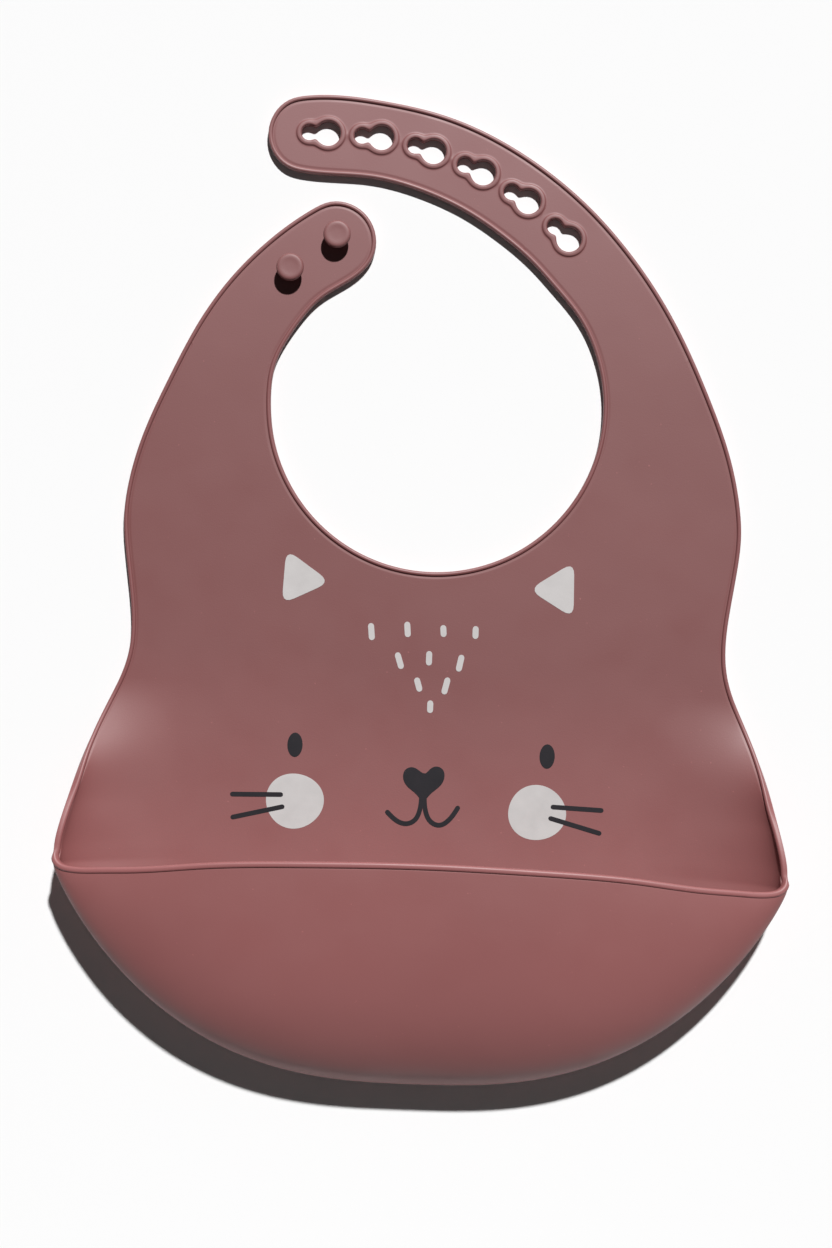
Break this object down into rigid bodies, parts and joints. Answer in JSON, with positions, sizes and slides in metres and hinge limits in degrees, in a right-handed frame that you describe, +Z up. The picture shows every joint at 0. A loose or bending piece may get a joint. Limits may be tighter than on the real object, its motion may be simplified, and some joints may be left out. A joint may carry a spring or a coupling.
{
  "type": "silicone baby bib",
  "caption": "Soft moulded bib with a neck opening, a strap of keyholes, a strap with studs, a printed animal face and a scoop-shaped catch pocket along its lower edge.",
  "frame": {"origin": "bottom centre of the whole bib as it lies on its back", "axes": "+Z up through the sheet from its back to its printed face, +Y from the pocket to the neck, +X towards the slotted strap's shoulder"},
  "size_m": [0.225, 0.308, 0.0343],
  "materials": {
    "silicone": "matte dusty-rose silicone",
    "rim_silicone": "matte dusty-rose silicone, polished a little by the mould's parting edge",
    "white_ink": "flat off-white silicone ink",
    "dark_ink": "flat charcoal silicone ink"
  },
  "bodies": {
    "belly": {"belly_panel": "silicone", "pocket_front": "silicone", "left_rim_end": "rim_silicone", "right_rim_end": "rim_silicone", "forehead_mark_5": "white_ink", "forehead_mark_6": "white_ink", "forehead_mark_7": "white_ink", "forehead_mark_8": "white_ink", "forehead_mark_9": "white_ink", "forehead_mark_10": "white_ink", "left_eye": "dark_ink", "left_cheek": "white_ink", "left_upper_whisker": "dark_ink", "left_lower_whisker": "dark_ink", "right_eye": "dark_ink", "right_cheek": "white_ink", "right_upper_whisker": "dark_ink", "right_lower_whisker": "dark_ink", "nose": "dark_ink", "mouth": "dark_ink"},
    "chest": {"chest_panel": "silicone", "left_ear": "white_ink", "right_ear": "white_ink", "forehead_mark_1": "white_ink", "forehead_mark_2": "white_ink", "forehead_mark_3": "white_ink", "forehead_mark_4": "white_ink"},
    "slotted_strap": {"slotted_strap": "silicone"},
    "slotted_strap_end": {"slotted_strap_tip": "silicone"},
    "stud_strap": {"stud_strap": "silicone", "upper_stud": "silicone", "lower_stud": "silicone"},
    "pocket_mouth": {"pocket_lip": "silicone", "pocket_rim": "rim_silicone"}
  },
  "joints": [
    {"name": "waist_fold", "type": "hinge", "parent": "belly", "child": "chest", "pos_m": [0, -0.0175, 0.001], "axis": [1, 0, 0], "range_deg": [-60, 75], "stiffness_Nm_per_rad": 0.006},
    {"name": "slotted_strap_bend", "type": "hinge", "parent": "chest", "child": "slotted_strap", "pos_m": [0, 0.057, 0.001], "axis": [0.8829, 0.4695, 0], "range_deg": [-60, 75], "stiffness_Nm_per_rad": 0.003},
    {"name": "slotted_strap_curl", "type": "hinge", "parent": "slotted_strap", "child": "slotted_strap_end", "pos_m": [0, 0.057, 0.001], "axis": [0.0262, 0.9997, 0], "range_deg": [-45, 60], "stiffness_Nm_per_rad": 0.001},
    {"name": "stud_strap_bend", "type": "hinge", "parent": "chest", "child": "stud_strap", "pos_m": [0, 0.057, 0.001], "axis": [0.8829, -0.4695, 0], "range_deg": [-60, 90], "stiffness_Nm_per_rad": 0.0015},
    {"name": "pocket_mouth_lift", "type": "hinge", "parent": "belly", "child": "pocket_mouth", "pos_m": [0, -0.118, 0.0295], "axis": [1, 0, 0], "range_deg": [-30, 28], "stiffness_Nm_per_rad": 0.03}
  ]
}
